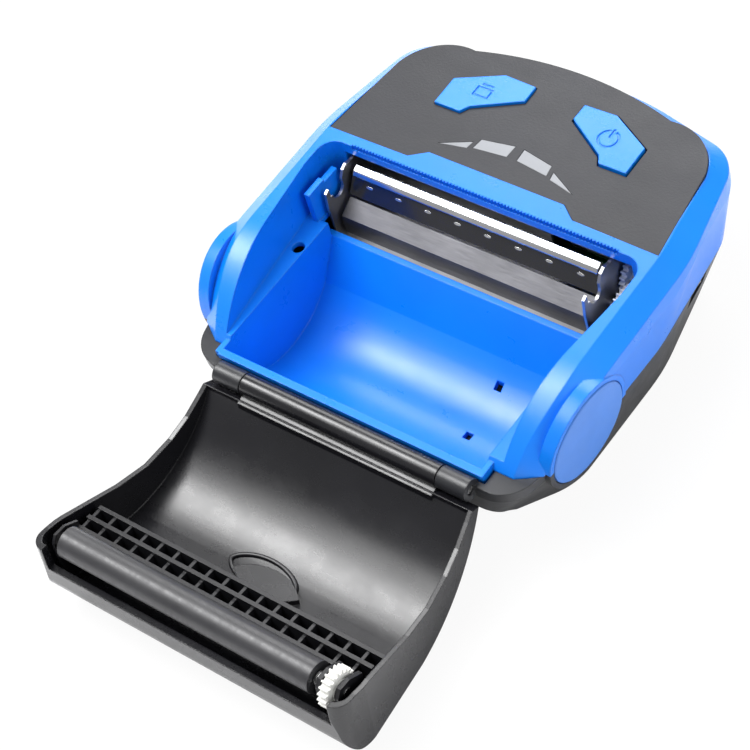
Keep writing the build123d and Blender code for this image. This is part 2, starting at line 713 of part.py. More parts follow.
with BuildPart() as battery_contacts:
    for k in range(3):
        slab(-3.0 + 2.6 * k, -1.4 + 2.6 * k, 63.0, 70.0, BATTERY[5], BATTERY[5] + 0.25)
        slab(-3.0 + 2.6 * k, -1.4 + 2.6 * k, 69.7, 70.0, BATTERY[5] + 0.2, BOARD_Z[0] - 1.0)
        slab(-3.0 + 2.6 * k, -1.4 + 2.6 * k, 69.7, 74.0, BOARD_Z[0] - 1.2, BOARD_Z[0] - 0.9)
    slab(-4.0, 5.2, 72.0, 76.0, BOARD_Z[0] - 0.9, BOARD_Z[0])
ship(battery_contacts.part, "battery_contacts")

# Main board with its socket, radio can, buzzer
with BuildPart() as main_board:
    slab(-42.0, 42.0, 70.8, 98.0, BOARD_Z[0], BOARD_Z[1])
    slab(40.0, 47.4, 75.0, 86.4, BOARD_Z[0], BOARD_Z[1])
    for x, y in SCREW_SPOTS:
        post(x, y, BOARD_Z[0] - 1.0, BOARD_Z[1] + 1.0, BOSS_R + 0.4, mode=Mode.SUBTRACT)
ship(main_board.part, "main_board")

with BuildPart() as usb_socket:
    slab(USB[0], USB[1], USB[2], USB[3], BOARD_Z[1], USB[4])
    slab(USB[0] + 2.0, USB[1] + 1.0, USB[2] + 0.5, USB[3] - 0.5, BOARD_Z[1] + 0.5, USB[4] - 0.4, mode=Mode.SUBTRACT)
    slab(USB[0] + 1.0, USB[1] - 1.2, USB[2] + 1.6, USB[3] - 1.6, BOARD_Z[1] + 1.4, BOARD_Z[1] + 2.1)
ship(usb_socket.part, "usb_socket")

with BuildPart() as radio_module:
    slab(-30.0, -14.0, 84.0, 98.0, BOARD_Z[1], BOARD_Z[1] + 2.2)
ship(radio_module.part, "radio_module")

with BuildPart() as buzzer:
    post(2.0, 95.0, BOARD_Z[1], BOARD_Z[1] + 4.0, 4.5)
    post(2.0, 95.0, BOARD_Z[1] + 3.0, BOARD_Z[1] + 5.0, 1.0, mode=Mode.SUBTRACT)
ship(buzzer.part, "buzzer")

with BuildPart() as paper_sensor:
    slab(SENSOR_X - 3.0, SENSOR_X + 3.0, 54.0, 60.0, BATTERY[5], BATTERY[5] + 1.0)
    slab(SENSOR_X - 1.6, SENSOR_X + 1.6, 54.6, 57.6, BATTERY[5] + 1.0, BATTERY[5] + 2.7)
ship(paper_sensor.part, "paper_sensor")

# Printing works: sheet frame
NOTCH_R = BUSH_R + 0.35
FRAME_TOP = 9.6
FRAME_SIDE = [
    (53.6, -6.0),
    (90.5, -6.0),
    (90.5, 7.0),
    (84.0, 12.6),
    (66.2, 12.6),
    (64.0, 13.2),
    (62.3, 12.4),
    (60.6, FRAME_TOP),
    (56.6, FRAME_TOP),
    (55.9, 11.6),
    (54.2, 10.8),
    (53.6, 6.0),
]
with BuildPart() as mechanism_frame:
    side_prism(FRAME_L[0], FRAME_L[1], FRAME_SIDE)
    side_prism(FRAME_R[0], FRAME_R[1], FRAME_SIDE)
    slab(FRAME_L[0], FRAME_R[1], 53.6, 60.0, -6.0, -5.2)
    slab(FRAME_L[0], FRAME_R[1], 60.0, 72.6, -6.0, -5.2)
    slab(FRAME_L[0], FRAME_R[1], 71.8, 72.6, -6.0, 11.0)
    # Notches for the platen bushings
    rod(-50.0, 50.0, PLATEN_Y, PLATEN_Z, NOTCH_R, mode=Mode.SUBTRACT)
    slab(-50.0, 50.0, PLATEN_Y - NOTCH_R - 0.7, PLATEN_Y + NOTCH_R, PLATEN_Z, 20.0, mode=Mode.SUBTRACT)
    # Shaft holes and motor seat
    rod(30.0, 50.0, drive_y, drive_z, 1.5, mode=Mode.SUBTRACT)
    rod(30.0, 50.0, reduce_y, reduce_z, 1.5, mode=Mode.SUBTRACT)
    rod(30.0, 50.0, motor_y, motor_z, 2.2, mode=Mode.SUBTRACT)
    slab(16.0, 37.0, 71.0, 73.0, -5.2, 11.4, mode=Mode.SUBTRACT)
ship(mechanism_frame.part, "mechanism_frame")


def tilted(depth, slide_start, slide_end, thick):
    """Corners of a strip lying along the print line, facing the roller."""
    n = (math.cos(math.radians(HEAD_ANGLE)), math.sin(math.radians(HEAD_ANGLE)))
    t = (-n[1], n[0])
    base = (PLATEN_Y + n[0] * depth, PLATEN_Z + n[1] * depth)
    a = (base[0] + t[0] * slide_start, base[1] + t[1] * slide_start)
    b = (base[0] + t[0] * slide_end, base[1] + t[1] * slide_end)
    return [a, b, (b[0] + n[0] * thick, b[1] + n[1] * thick), (a[0] + n[0] * thick, a[1] + n[1] * thick)]


HEAD_X0 = -41.8
HEAD_X1 = 37.0
FACE = PLATEN_R + HEAD_GAP
with BuildPart() as thermal_head:
    side_prism(HEAD_X0, HEAD_X1, tilted(FACE, -1.8, 4.4, 0.9))
ship(thermal_head.part, "thermal_head")

with BuildPart() as head_plate:
    side_prism(HEAD_X0, HEAD_X1, tilted(FACE + 0.9, -2.2, 5.6, 1.6))
ship(head_plate.part, "head_plate")

with BuildPart() as head_cover:
    side_prism(HEAD_X0 + 1.0, HEAD_X1 - 1.0, tilted(FACE - 1.3, 4.4, 6.3, 2.1))
ship(head_cover.part, "head_cover")

# Bright contact spots in a row on the dark band
MARKS = 8
MARK_END = 6.0              # distance of the outer spots from the ends
with BuildPart() as head_marks:
    for k in range(MARKS):
        x = HEAD_X0 + MARK_END + k * (HEAD_X1 - HEAD_X0 - 2 * MARK_END) / (MARKS - 1)
        side_prism(x - 0.7, x + 0.7, tilted(FACE - 0.25, 3.2, 3.9, 0.25))
ship(head_marks.part, "head_marks")

with BuildPart() as paper_guide:
    side_prism(
        HEAD_X0, HEAD_X1,
        [(61.2, 3.5), (61.2, 2.4), (57.4, 0.2), (56.9, -5.2), (56.0, -5.2), (56.3, 0.8)],
    )
ship(paper_guide.part, "paper_guide")

# Two springs press the head plate from the upright rear sheet
n_dir = (math.cos(math.radians(HEAD_ANGLE)), math.sin(math.radians(HEAD_ANGLE)))
SPRING_R = 1.7
SPRING_WIRE = 0.28
spring_start = (PLATEN_Y + n_dir[0] * (FACE + 2.5) + 0.574 * 1.6, PLATEN_Z + n_dir[1] * (FACE + 2.5) + 0.819 * 1.6)
SPRING_LONG = 3.6
with BuildPart() as head_springs:
    for x in (-24.0, 8.0):
        seat = Plane(
            origin=(x, spring_start[0] + n_dir[0] * SPRING_WIRE, spring_start[1] + n_dir[1] * SPRING_WIRE),
            x_dir=(1, 0, 0),
            z_dir=(0, n_dir[0], n_dir[1]),
        )
        coil = seat.from_local_coords(Helix(pitch=1.1, height=SPRING_LONG, radius=SPRING_R))
        start = Plane(origin=coil @ 0, z_dir=coil % 0)
        with BuildSketch(start) as wire:
            Circle(SPRING_WIRE)
        sweep(wire.sketch, path=coil)
ship(head_springs.part, "head_springs")

with BuildPart() as head_cable:
    slab(-22.0, 6.0, 69.0, 71.2, -4.9, -4.7)
    slab(-22.0, 6.0, 71.0, 71.2, -4.9, -4.7)
ship(head_cable.part, "head_cable")

# Motor and gear train
MOTOR_R = 7.4
MOTOR_BORE_X = 32.0         # bottom of the bore the pinion shaft turns in
GEAR_FAR = 43.6
with BuildPart() as stepper_motor:
    rod(19.0, FRAME_R[0], motor_y, motor_z, MOTOR_R)
    rod(MOTOR_BORE_X, FRAME_R[0] + 1.0, motor_y, motor_z, 1.0 + GEAR_BORE_FIT, mode=Mode.SUBTRACT)
ship(stepper_motor.part, "stepper_motor")

with BuildPart() as motor_pinion:
    gear_at(FRAME_R[1] + 0.6, 41.0, motor_y, motor_z, MOTOR_TEETH, motor_phase)
    rod(MOTOR_BORE_X + 0.4, 41.0, motor_y, motor_z, 1.0)
ship(motor_pinion.part, "motor_pinion")

with BuildPart() as reduction_gear:
    gear_at(FRAME_R[1] + 0.6, 40.8, reduce_y, reduce_z, BIG_TEETH, big_phase)
    gear_at(40.8, GEAR_FAR, reduce_y, reduce_z, SMALL_TEETH, small_phase)
    rod(30.0, 50.0, reduce_y, reduce_z, 1.0 + GEAR_BORE_FIT, mode=Mode.SUBTRACT)
ship(reduction_gear.part, "reduction_gear")

with BuildPart() as drive_gear:
    gear_at(41.2, GEAR_FAR, drive_y, drive_z, DRIVE_TEETH, drive_phase)
    rod(30.0, 50.0, drive_y, drive_z, 1.0 + GEAR_BORE_FIT, mode=Mode.SUBTRACT)
ship(drive_gear.part, "drive_gear")

with BuildPart() as gear_studs:
    for y, z in ((drive_y, drive_z), (reduce_y, reduce_z)):
        rod(FRAME_R[0], FRAME_R[1], y, z, 1.5)
        rod(FRAME_R[1], GEAR_FAR + 0.6, y, z, 1.0)
        rod(GEAR_FAR + 0.3, GEAR_FAR + 0.7, y, z, 1.5)
ship(gear_studs.part, "gear_studs")


# Lid, drawn closed and swung open when written
LID_OUTER = [(1.0, 3.45), (12.2, 16.6), (34.0, 25.6), (56.0, 26.3), (62.2, 24.2), (64.6, 19.2)]
LID_INNER = [(4.0, 3.7), (13.9, 14.9), (34.2, 23.4), (55.8, 24.1), (60.4, 22.5), (62.6, 18.4)]
RIM_LOW = [
    (65.2, 6.4),
    (58.9, 6.7),
    (53.8, 7.4),
    (46.9, 9.0),
    (36.7, 11.4),
    (27.2, 12.3),
    (18.3, 10.4),
    (11.8, 7.6),
    (6.3, 4.0),
    (3.9, 2.3),
]
END_LOW = 13.9
ALMOND_Y = 36.0


def shell_side(curve, below):
    """Side view under a lid curve, closed by the points below it."""
    with BuildLine() as rim:
        ThreePointArc(curve[0], curve[1], curve[2])
        Line(curve[2], curve[3])
        ThreePointArc(curve[3], curve[4], curve[5])
        Polyline(curve[5], *below, curve[0])
    make_face(rim.edges())


def almond(half_long, half_wide):
    """Eye-shaped outline on the lid, in plan."""
    with BuildLine() as rim:
        for sign in (1.0, -1.0):
            ThreePointArc((-half_long, ALMOND_Y), (0.0, ALMOND_Y + sign * half_wide), (half_long, ALMOND_Y))
    make_face(rim.edges())


with BuildPart() as lid_hollow:
    with BuildSketch(Plane.YZ.offset(-60.0)):
        shell_side(LID_INNER, [(63.3, 12.0), (63.3, -9.0), (4.0, -9.0)])
    extrude(amount=120.0)
    with BuildSketch(Plane.XY.offset(-10.0)):
        opening_plan(LID_GAP + RIM_T, LID_END - 1.6, 3.6)
    extrude(amount=60.0, mode=Mode.INTERSECT)

with BuildPart() as lid_shell:
    with BuildSketch(Plane.YZ.offset(-60.0)):
        shell_side(LID_OUTER, [(65.2, 12.5), *RIM_LOW])
    extrude(amount=120.0)
    with BuildSketch(Plane.XY.offset(-10.0)):
        opening_plan(LID_GAP, LID_END, 5.0 - LID_GAP)
    extrude(amount=60.0, mode=Mode.INTERSECT)
    add(lid_hollow.part, mode=Mode.SUBTRACT)
    slab(-44.6, 45.2, 58.0, 70.0, 0.0, END_LOW, mode=Mode.SUBTRACT)
    # Finger recess outside, its bulge inside
    with BuildSketch(Plane.XY.offset(21.9)):
        almond(10.6, 4.4)
    extrude(amount=2.4)
    with BuildSketch(Plane.XY.offset(23.2)):
        almond(9.4, 3.4)
    extrude(amount=6.0, mode=Mode.SUBTRACT)
    # Keep clear of the case knuckles, then the lid's own long knuckle
    rod(-60.0, 60.0, 0.0, 0.0, KNUCKLE_R + 0.4, mode=Mode.SUBTRACT)
    half = KNUCKLE_JOIN - KNUCKLE_GAP / 2
    rod(-half, half, 0.0, 0.0, KNUCKLE_R)
    side_prism(-half, half, [(-1.2, 2.7), (1.4, 4.4), (4.6, 6.0), (4.6, 2.8), (2.2, 2.0), (0.0, 1.6)])
    rod(-60.0, 60.0, 0.0, 0.0, PIN_R + PIN_FIT, mode=Mode.SUBTRACT)
ship(lid_shell.part, "lid_shell", swung=True)

# Ribbed platen carrier with its end brackets
CARRIER_TOP = 22.6
RIB_Y = (44.4, 48.5, 52.7)
RIB_T = 1.1
RIB_LOW = (10.4, 9.7, 9.0)
CROSS_PITCH = 5.35
BRACKET_L = (-44.6, -43.8)
BRACKET_R = (39.0, 40.2)
BOX_END = (44.6, 45.8)
ARM = [(52.7, CARRIER_TOP), (52.7, 7.6), (56.9, 5.4), (60.3, 5.4), (61.7, 7.6), (61.7, 14.6), (61.0, 20.0), (59.0, CARRIER_TOP)]
with BuildPart() as platen_carrier:
    slab(BRACKET_L[0], BOX_END[1], RIB_Y[0], RIB_Y[2] + RIB_T, 21.2, CARRIER_TOP)
    for y, low in zip(RIB_Y, RIB_LOW):
        slab(BRACKET_L[0], BOX_END[1], y, y + RIB_T, low, 21.5)
    for k in range(17):
        x = BRACKET_L[0] + k * CROSS_PITCH
        slab(x, x + 0.9, RIB_Y[0], RIB_Y[2] + RIB_T, 10.9, 21.5)
    for a, b in (BRACKET_L, BRACKET_R, BOX_END):
        side_prism(a, b, ARM)
    rod(-60.0, 60.0, PLATEN_Y, PLATEN_Z, SHAFT_R + 0.06, mode=Mode.SUBTRACT)
    # Room for the gear between the two right-hand brackets
    rod(BRACKET_R[1] + 0.2, BOX_END[0] - 0.2, PLATEN_Y, PLATEN_Z, 5.9, mode=Mode.SUBTRACT)
ship(platen_carrier.part, "platen_carrier", swung=True)

with BuildPart() as platen_bushings:
    for a, b in ((BRACKET_L[1], PLATEN_X0 - 0.3), (PLATEN_X1 + 0.3, BRACKET_R[0])):
        rod(a, b, PLATEN_Y, PLATEN_Z, BUSH_R)
    rod(-60.0, 60.0, PLATEN_Y, PLATEN_Z, SHAFT_R + 0.06, mode=Mode.SUBTRACT)
ship(platen_bushings.part, "platen_bushings", swung=True)

with BuildPart() as platen_roller:
    rod(PLATEN_X0, PLATEN_X1, PLATEN_Y, PLATEN_Z, PLATEN_R)
    rod(-60.0, 60.0, PLATEN_Y, PLATEN_Z, SHAFT_R, mode=Mode.SUBTRACT)
ship(platen_roller.part, "platen_roller", swung=True)

with BuildPart() as platen_shaft:
    rod(BRACKET_L[0] - 0.2, BOX_END[1] + 0.2, PLATEN_Y, PLATEN_Z, SHAFT_R)
ship(platen_shaft.part, "platen_shaft", swung=True)

with BuildPart() as platen_gear:
    gear_at(41.2, 43.8, PLATEN_Y, PLATEN_Z, PLATEN_TEETH, platen_phase)
    rod(40.7, 44.1, PLATEN_Y, PLATEN_Z, 2.8)
    rod(30.0, 50.0, PLATEN_Y, PLATEN_Z, SHAFT_R, mode=Mode.SUBTRACT)
ship(platen_gear.part, "platen_gear", swung=True)
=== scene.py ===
import math

import bpy
from mathutils import Matrix, Vector


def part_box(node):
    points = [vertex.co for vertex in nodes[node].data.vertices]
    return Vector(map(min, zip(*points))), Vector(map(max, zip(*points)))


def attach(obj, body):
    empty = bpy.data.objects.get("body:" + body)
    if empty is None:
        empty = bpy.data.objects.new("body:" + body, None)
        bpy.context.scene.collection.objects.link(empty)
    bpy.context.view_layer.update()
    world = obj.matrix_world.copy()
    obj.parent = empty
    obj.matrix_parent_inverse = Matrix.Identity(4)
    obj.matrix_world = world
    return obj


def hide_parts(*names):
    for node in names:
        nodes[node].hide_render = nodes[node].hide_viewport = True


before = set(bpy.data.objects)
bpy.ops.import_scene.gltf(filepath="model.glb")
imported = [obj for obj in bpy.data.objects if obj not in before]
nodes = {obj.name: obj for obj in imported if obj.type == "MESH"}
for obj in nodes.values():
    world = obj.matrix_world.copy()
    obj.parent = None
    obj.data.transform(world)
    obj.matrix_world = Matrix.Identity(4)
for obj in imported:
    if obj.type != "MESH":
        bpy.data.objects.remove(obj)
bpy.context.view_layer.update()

MM = 0.001                  # one millimetre in the scene's metres

# Sockets of a colour mix node
MIX_FACTOR = 0
MIX_A = 6
MIX_B = 7
MIX_RESULT = 2
BEVEL_SAMPLES = 4

# Grain of the materials, in features a metre
FLOW_SCALE = 38.0           # slow drift of colour in moulded plastic
SMEAR_SCALE = 70.0          # handling marks that change its gloss
SINK_SCALE = 60.0           # faint sink marks
DRAWN_SCALE = 160.0         # drawing lines of sheet metal
STAIN_SCALE = 45.0          # stains on metal
TURNED_SCALE = 900.0        # grinding lines round the roller
CLOUD_SCALE = 60.0          # uneven rubber
TRACK_SCALE = 260.0         # copper tracks of a circuit board
SINK_DEPTH = 0.12 * MM
COAT_ROUGH = 0.15


class Mat:
    """A node material with a principled shader and a few helpers."""

    def __init__(self, name):
        self.mat = bpy.data.materials.new(name)
        self.mat.use_nodes = True
        self.tree = self.mat.node_tree
        self.bsdf = self.tree.nodes["Principled BSDF"]
        self.coord = self.tree.nodes.new("ShaderNodeTexCoord").outputs["Object"]

    def new(self, kind, **settings):
        n = self.tree.nodes.new(kind)
        for setting, value in settings.items():
            setattr(n, setting, value)
        return n

    def link(self, a, b):
        self.tree.links.new(a, b)

    def noise(self, scale, detail=4.0, rough=0.5, stretch=None):
        """Cloudy noise with about scale features a metre, squeezed by stretch along each axis."""
        src = self.coord
        if stretch:
            m = self.new("ShaderNodeMapping")
            m.inputs["Scale"].default_value = stretch
            self.link(src, m.inputs["Vector"])
            src = m.outputs["Vector"]
        n = self.new("ShaderNodeTexNoise")
        n.inputs["Scale"].default_value = scale
        n.inputs["Detail"].default_value = detail
        n.inputs["Roughness"].default_value = rough
        self.link(src, n.inputs["Vector"])
        return n.outputs[0]

    def ramp(self, src, lo, hi, out_lo=0.0, out_hi=1.0):
        """The range lo to hi of a value, spread over out_lo to out_hi."""
        m = self.new("ShaderNodeMapRange")
        m.inputs["From Min"].default_value = lo
        m.inputs["From Max"].default_value = hi
        m.inputs["To Min"].default_value = out_lo
        m.inputs["To Max"].default_value = out_hi
        self.link(src, m.inputs["Value"])
        return m.outputs["Result"]

    def mix(self, fac, dark, light):
        """A colour between two, by a value from 0 to 1."""
        m = self.new("ShaderNodeMix", data_type="RGBA")
        self.link(fac, m.inputs[MIX_FACTOR])
        m.inputs[MIX_A].default_value = (*dark, 1.0)
        m.inputs[MIX_B].default_value = (*light, 1.0)
        return m.outputs[MIX_RESULT]

    def bump(self, src, strength, distance, normal):
        """Fine relief on top of another normal."""
        b = self.new("ShaderNodeBump")
        b.inputs["Strength"].default_value = strength
        b.inputs["Distance"].default_value = distance
        self.link(src, b.inputs["Height"])
        self.link(normal, b.inputs["Normal"])
        return b.outputs["Normal"]

    def bevel(self, radius):
        """A normal that softens sharp edges by a radius."""
        b = self.new("ShaderNodeBevel")
        b.samples = BEVEL_SAMPLES
        b.inputs["Radius"].default_value = radius
        return b.outputs["Normal"]


def plastic(name, colour, rough=0.35, grain=2600.0, grain_depth=0.02, edge=0.35, worn=0.06,
            spec=0.5, coat=0.0, vary=0.12):
    """Moulded plastic: fine spark grain, faint flow variation, edges rounded by edge millimetres."""
    m = Mat(name)
    flow = m.noise(FLOW_SCALE, 5.0, 0.55)
    dark = tuple(c * (1.0 - vary) for c in colour)
    light = tuple(min(1.0, c * (1.0 + vary)) for c in colour)
    base = m.mix(m.ramp(flow, 0.35, 0.65), dark, light)
    m.link(base, m.bsdf.inputs["Base Color"])
    smear = m.noise(SMEAR_SCALE, 6.0, 0.65, (1.0, 1.6, 1.3))
    m.link(m.ramp(smear, 0.3, 0.7, rough - worn, rough + worn), m.bsdf.inputs["Roughness"])
    normal = m.bevel(edge * MM)
    normal = m.bump(m.noise(SINK_SCALE, 2.0, 0.5), 0.25, SINK_DEPTH, normal)
    if grain_depth:
        normal = m.bump(m.noise(grain, 2.0, 0.6), 0.6, grain_depth * MM, normal)
    m.link(normal, m.bsdf.inputs["Normal"])
    m.bsdf.inputs["Specular IOR Level"].default_value = spec
    m.bsdf.inputs["Coat Weight"].default_value = coat
    m.bsdf.inputs["Coat Roughness"].default_value = COAT_ROUGH
    return m.mat


def metal(name, colour, rough=0.3, brushed=(1.0, 60.0, 60.0), edge=0.12, depth=0.006, worn=0.1):
    """Sheet or turned metal with a drawn grain and faint stains."""
    m = Mat(name)
    grain = m.noise(DRAWN_SCALE, 6.0, 0.7, brushed)
    stain = m.noise(STAIN_SCALE, 4.0, 0.6)
    dark = tuple(c * 0.78 for c in colour)
    base = m.mix(m.ramp(stain, 0.35, 0.7), dark, colour)
    m.link(base, m.bsdf.inputs["Base Color"])
    m.bsdf.inputs["Metallic"].default_value = 1.0
    m.link(m.ramp(grain, 0.3, 0.7, rough - worn, rough + worn), m.bsdf.inputs["Roughness"])
    normal = m.bump(grain, 0.35, depth * MM, m.bevel(edge * MM))
    m.link(normal, m.bsdf.inputs["Normal"])
    return m.mat


def rubber(name, colour, rough):
    """Ground rubber with a fine turned grain."""
    m = Mat(name)
    turn = m.noise(TURNED_SCALE, 3.0, 0.6, (1.0, 0.15, 0.15))
    cloud = m.noise(CLOUD_SCALE, 5.0, 0.6)
    dark = tuple(c * 0.8 for c in colour)
    light = tuple(c * 1.25 for c in colour)
    base = m.mix(m.ramp(cloud, 0.3, 0.7), dark, light)
    m.link(base, m.bsdf.inputs["Base Color"])
    m.link(m.ramp(turn, 0.3, 0.7, rough - 0.06, rough + 0.08), m.bsdf.inputs["Roughness"])
    normal = m.bump(turn, 0.4, 0.008 * MM, m.bevel(0.2 * MM))
    m.link(normal, m.bsdf.inputs["Normal"])
    return m.mat


def board(name):
    """Coated circuit board with copper showing faintly through."""
    m = Mat(name)
    tracks = m.noise(TRACK_SCALE, 1.0, 0.4, (1.0, 3.0, 1.0))
    base = m.mix(m.ramp(tracks, 0.47, 0.53), (0.006, 0.10, 0.035), (0.012, 0.17, 0.06))
    m.link(base, m.bsdf.inputs["Base Color"])
    m.bsdf.inputs["Roughness"].default_value = 0.28
    m.link(m.bump(tracks, 0.5, 0.03 * MM, m.bevel(0.1 * MM)), m.bsdf.inputs["Normal"])
    return m.mat


blue = plastic(
    "case_blue", (0.002, 0.180, 0.76),
    rough=0.30, grain_depth=0.008, edge=0.55, worn=0.04, spec=0.45, vary=0.05,
)
key_blue = plastic(
    "key_blue", (0.002, 0.195, 0.80),
    rough=0.26, grain_depth=0.004, edge=0.45, worn=0.04, spec=0.45, vary=0.04,
)
# Side caps: blue plastic with a rougher grain, its colour paled towards lavender as a painted sheen
# of white light reflected off the side walls
side_blue_painted_sheen = plastic(
    "side_blue_painted_sheen", (0.055, 0.20, 0.62),
    rough=0.42, grain=1800.0, grain_depth=0.03, edge=0.5, worn=0.05, spec=0.45, vary=0.06,
)
case_grey = plastic(
    "case_grey", (0.016, 0.017, 0.020),
    rough=0.36, grain=1700.0, grain_depth=0.03, edge=0.5, worn=0.07, vary=0.15,
)
lid_grey = plastic(
    "lid_grey", (0.007, 0.007, 0.009),
    rough=0.27, grain=1500.0, grain_depth=0.012, edge=0.4, worn=0.05, vary=0.2,
)
rib_grey = plastic(
    "rib_grey", (0.009, 0.009, 0.011),
    rough=0.34, grain=1500.0, edge=0.15, worn=0.07, vary=0.2,
)
panel = plastic(
    "panel_dark", (0.013, 0.014, 0.019),
    rough=0.46, grain=1500.0, grain_depth=0.07, edge=0.25, worn=0.05, spec=0.45,
)
lamp = plastic(
    "lamp_grey", (0.22, 0.23, 0.25),
    grain=2000.0, grain_depth=0.01, edge=0.12, worn=0.05, vary=0.08,
)
gear_white = plastic(
    "gear_white", (0.78, 0.78, 0.75),
    rough=0.38, grain=2200.0, grain_depth=0.01, edge=0.10, worn=0.05, vary=0.05,
)
black = plastic(
    "black_plastic", (0.012, 0.012, 0.013),
    rough=0.42, grain=2000.0, edge=0.15, vary=0.15,
)
head_dark = plastic(
    "head_dark", (0.010, 0.010, 0.012),
    rough=0.16, grain=2400.0, grain_depth=0.0, edge=0.12, worn=0.05, spec=0.6, coat=0.5, vary=0.15,
)
steel = metal("works_steel", (0.50, 0.50, 0.51), rough=0.34)
shaft = metal("shaft_steel", (0.62, 0.62, 0.62), rough=0.22, brushed=(60.0, 1.0, 1.0))
guide = metal(
    "guide_plate", (0.13, 0.13, 0.14),
    rough=0.55, brushed=(1.0, 30.0, 30.0), edge=0.15, depth=0.01,
)
chrome = metal(
    "bright_bar", (0.86, 0.87, 0.89),
    rough=0.13, brushed=(1.0, 40.0, 40.0), edge=0.3, depth=0.003, worn=0.04,
)
alu = metal("head_sink", (0.68, 0.69, 0.71), rough=0.38)
mark = metal("head_spots", (0.92, 0.92, 0.90), rough=0.2)
contact = metal("contact_metal", (0.80, 0.70, 0.45), rough=0.25)
can = metal("motor_can", (0.48, 0.48, 0.50))
roller = rubber("roller_rubber", (0.030, 0.030, 0.033), rough=0.38)
foot = rubber("foot_rubber", (0.012, 0.012, 0.012), rough=0.6)
pcb = board("board_green")
film = plastic(
    "cable_film", (0.55, 0.24, 0.04),
    rough=0.3, grain=2000.0, grain_depth=0.0, edge=0.05, worn=0.05,
)
wrap = plastic("battery_wrap", (0.02, 0.02, 0.03), rough=0.25, grain=900.0, edge=0.4, worn=0.05)

DRESS = {
    "upper_case": blue,
    "left_side_cap": side_blue_painted_sheen,
    "right_side_cap": side_blue_painted_sheen,
    "feed_button": key_blue,
    "power_button": key_blue,
    "lower_case": case_grey,
    "battery_door": case_grey,
    "lid_shell": lid_grey,
    "platen_carrier": rib_grey,
    "top_panel": panel,
    "led_windows": lamp,
    "platen_roller": roller,
    "rubber_feet": foot,
    "platen_gear": gear_white,
    "drive_gear": gear_white,
    "reduction_gear": gear_white,
    "mechanism_frame": steel,
    "gear_studs": shaft,
    "paper_guide": guide,
    "platen_bushings": shaft,
    "platen_shaft": shaft,
    "hinge_pin": shaft,
    "case_screws": steel,
    "head_springs": steel,
    "head_cover": chrome,
    "thermal_head": head_dark,
    "head_plate": alu,
    "head_marks": mark,
    "battery_contacts": contact,
    "motor_pinion": contact,
    "stepper_motor": can,
    "usb_socket": can,
    "radio_module": can,
    "main_board": pcb,
    "switch_board": pcb,
    "buzzer": black,
    "paper_sensor": black,
    "feed_switch": black,
    "power_switch": black,
    "feed_plunger": black,
    "power_plunger": black,
    "head_cable": film,
    "battery_pack": wrap,
}
for name, obj in nodes.items():
    obj.data.materials.clear()
    obj.data.materials.append(DRESS[name])


def shape(name, points, faces, material, body, soften=0.0):
    """A closed mesh that moves with one body, its edges rounded a little."""
    mesh = bpy.data.meshes.new(name)
    mesh.from_pydata(points, [], faces)
    mesh.materials.append(material)
    obj = bpy.data.objects.new(name, mesh)
    bpy.context.scene.collection.objects.link(obj)
    if soften:
        round_edges = obj.modifiers.new("soften", "BEVEL")
        round_edges.width = soften
        round_edges.segments = 3
        round_edges.limit_method = "ANGLE"
    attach(obj, body)
    return obj


def prism(name, x0, x1, outline, material, body, soften=0.0):
    """A bar along x with a closed outline of (y, z) points, given anticlockwise seen from +x."""
    n = len(outline)
    points = [(x, y, z) for x in (x0, x1) for y, z in outline]
    faces = [(k, (k + 1) % n, n + (k + 1) % n, n + k) for k in range(n)]
    faces += [tuple(range(n - 1, -1, -1)), tuple(range(n, 2 * n))]
    return shape(name, points, faces, material, body, soften)


# Print head dressing, laid out on the sloping face of the head
FACE_TILT = math.radians(35.0)
FACE_LONG = 6.2 * MM
head_lo, head_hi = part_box("thermal_head")
face_top_y = head_lo.y + FACE_LONG * math.sin(FACE_TILT)
face_top_z = head_hi.z


def on_face(along, out):
    """A (y, z) point, from the top edge of the head's face: up along it and out of it."""
    y = face_top_y + along * math.sin(FACE_TILT) - out * math.cos(FACE_TILT)
    z = face_top_z + along * math.cos(FACE_TILT) + out * math.sin(FACE_TILT)
    return y, z


BAR_LOW = -1.0 * MM
BAR_HIGH = 2.4 * MM
BAR_OUT = 1.4 * MM
BAR_BACK = -0.6 * MM
BAR_INSET = 0.8 * MM
BAR_ROUND = 0.25 * MM
bar_outline = [
    on_face(BAR_LOW, BAR_BACK),
    on_face(BAR_HIGH, BAR_BACK),
    on_face(BAR_HIGH, 0.35 * BAR_OUT),
    on_face(0.35 * BAR_HIGH, BAR_OUT),
    on_face(0.5 * BAR_LOW, BAR_OUT),
    on_face(BAR_LOW, 0.6 * BAR_OUT),
]
bar_x0 = head_lo.x + BAR_INSET
bar_x1 = head_hi.x - BAR_INSET
bar = prism("bright_bar", bar_x0, bar_x1, bar_outline, chrome, "case", BAR_ROUND)
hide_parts("head_cover")

# Lens-shaped bright spots in a row along the dark band under the bar
SPOTS = 8
SPOT_END = 6.0 * MM
SPOT_HALF = 1.1 * MM
SPOT_RISE = 0.38 * MM
SPOT_AT = -2.7 * MM
SPOT_THICK = 0.06 * MM
SPOT_SIDES = 16
spot_points = []
spot_faces = []
for k in range(SPOTS):
    middle = head_lo.x + SPOT_END + k * (head_hi.x - head_lo.x - 2 * SPOT_END) / (SPOTS - 1)
    start = len(spot_points)
    for out_of_face in (-SPOT_THICK, SPOT_THICK):
        for turn in range(SPOT_SIDES):
            angle = 2 * math.pi * turn / SPOT_SIDES
            y, z = on_face(SPOT_AT + SPOT_RISE * math.sin(angle), out_of_face)
            spot_points.append((middle + SPOT_HALF * math.cos(angle), y, z))
    for turn in range(SPOT_SIDES):
        after = (turn + 1) % SPOT_SIDES
        low, high = start + turn, start + after
        spot_faces.append((low, high, high + SPOT_SIDES, low + SPOT_SIDES))
    spot_faces.append(tuple(range(start + SPOT_SIDES - 1, start - 1, -1)))
    spot_faces.append(tuple(range(start + SPOT_SIDES, start + 2 * SPOT_SIDES)))
spots = shape("head_spots", spot_points, spot_faces, mark, "case")
